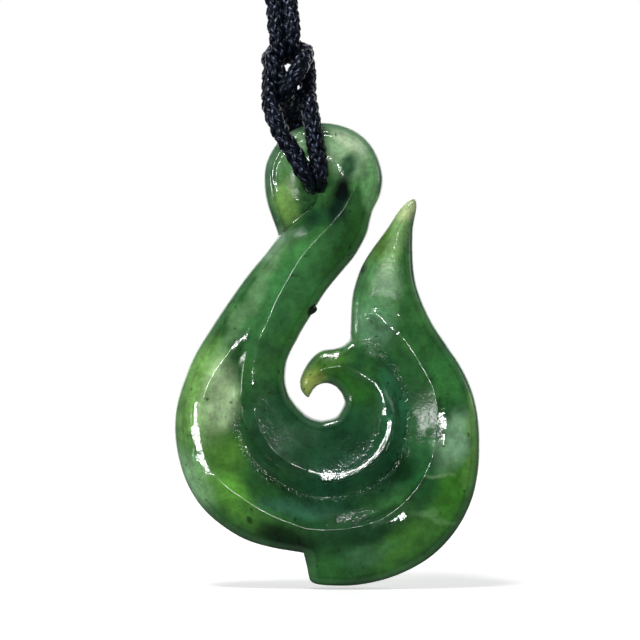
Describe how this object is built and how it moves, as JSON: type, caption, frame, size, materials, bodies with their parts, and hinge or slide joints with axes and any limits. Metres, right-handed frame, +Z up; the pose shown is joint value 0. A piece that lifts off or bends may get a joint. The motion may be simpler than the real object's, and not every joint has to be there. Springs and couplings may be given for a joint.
{
  "type": "carved jade fish hook pendant on a braided neck cord",
  "caption": "Carved green jade fish hook pendant with a grooved face, a barb and an inward point, hanging from a bore on a knotted black braided neck cord.",
  "frame": {"origin": "underside of the closure at the top of the cord loop, where the loop hangs", "axes": "+Z up along the hanging pendant, +X to the viewer's right, the carved face looks along -Y"},
  "size_m": [0.147, 0.0094, 0.1854],
  "materials": {
    "jade": "polished, slightly translucent",
    "cord": "waxed braid",
    "closure": "satin"
  },
  "bodies": {
    "cord": {"neck_cord_left": "cord", "neck_cord_right": "cord", "hitch_knot": "cord", "leg_cord_left": "cord", "leg_cord_right": "cord", "cord_closure": "closure"},
    "pendant": {"jade_hook": "jade"}
  },
  "joints": [
    {"name": "pendant_swing", "type": "hinge", "parent": "cord", "child": "pendant", "pos_m": [0.0038, 0, -0.1365], "axis": [0, 1, 0], "range_deg": [-25, 25]}
  ]
}
